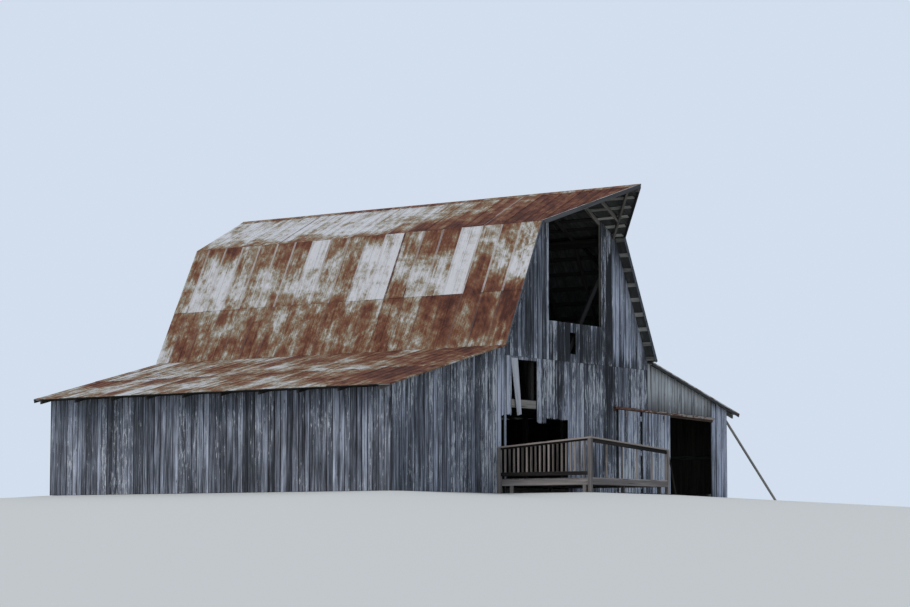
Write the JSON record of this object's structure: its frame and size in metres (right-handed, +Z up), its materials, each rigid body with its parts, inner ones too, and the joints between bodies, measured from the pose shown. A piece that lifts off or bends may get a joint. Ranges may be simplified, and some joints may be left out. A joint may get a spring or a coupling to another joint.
{
  "type": "gambrel barn with hay hood and lean-tos",
  "caption": "Weathered timber gambrel barn with a pointed hay hood, side lean-tos, a sliding door on a track and a low railed deck.",
  "frame": {"origin": "on the ground at the middle of the front wall's outer face", "axes": "+Z up, +X to the right along the front wall as seen from outside, +Y from the front wall into the barn along its ridge"},
  "size_m": [18.3737, 13.845, 7.8548],
  "materials": {
    "weathered_boards": "bare grey weathered boards with flecks of old paint",
    "faded_boards": "faded, chalky whitewashed boards",
    "frame_timber": "rough sawn dark timber",
    "roof_sheet": "galvanised sheet with red-brown rust",
    "rusty_iron": "rusted",
    "deck_timber": "weathered treated timber"
  },
  "bodies": {
    "barn": {"gable_left_boards": "weathered_boards", "gable_right_boards": "weathered_boards", "gable_slot_panel": "weathered_boards", "front_wall_left": "weathered_boards", "front_wall_center": "weathered_boards", "leanto_gable_right": "faded_boards", "leanto_corner_right": "weathered_boards", "leanto_front_left": "weathered_boards", "side_walls": "weathered_boards", "back_gable": "weathered_boards", "back_wall": "weathered_boards", "roof_upper_left": "roof_sheet", "roof_upper_right": "roof_sheet", "roof_steep_left": "roof_sheet", "roof_steep_right": "roof_sheet", "roof_leanto_left": "roof_sheet", "roof_leanto_right": "roof_sheet", "ridge_cap": "roof_sheet", "roof_lath": "frame_timber", "upper_rafters": "frame_timber", "steep_rafters": "frame_timber", "leanto_rafters": "frame_timber", "ridge_board": "frame_timber", "hood_rafters": "frame_timber", "rake_boards": "weathered_boards", "purlin_beams": "frame_timber", "purlin_posts": "frame_timber", "braces": "frame_timber", "wall_plates": "frame_timber", "wall_posts": "frame_timber", "sill_beams": "frame_timber", "wall_girts": "frame_timber", "loft_beams": "frame_timber", "loft_joists": "frame_timber", "loft_floor": "frame_timber", "track_board": "frame_timber", "door_track": "rusty_iron", "deck_floor": "deck_timber", "deck_frame": "deck_timber", "deck_posts": "deck_timber", "deck_rails": "deck_timber", "prop_pole": "frame_timber", "loose_board": "faded_boards"},
    "door": {"sliding_door": "weathered_boards", "door_hangers": "rusty_iron"}
  },
  "joints": [
    {"name": "door_slide", "type": "slide", "parent": "barn", "child": "door", "axis": [0.9998, 0, -0.0191], "range_m": [0, 2.35]}
  ]
}
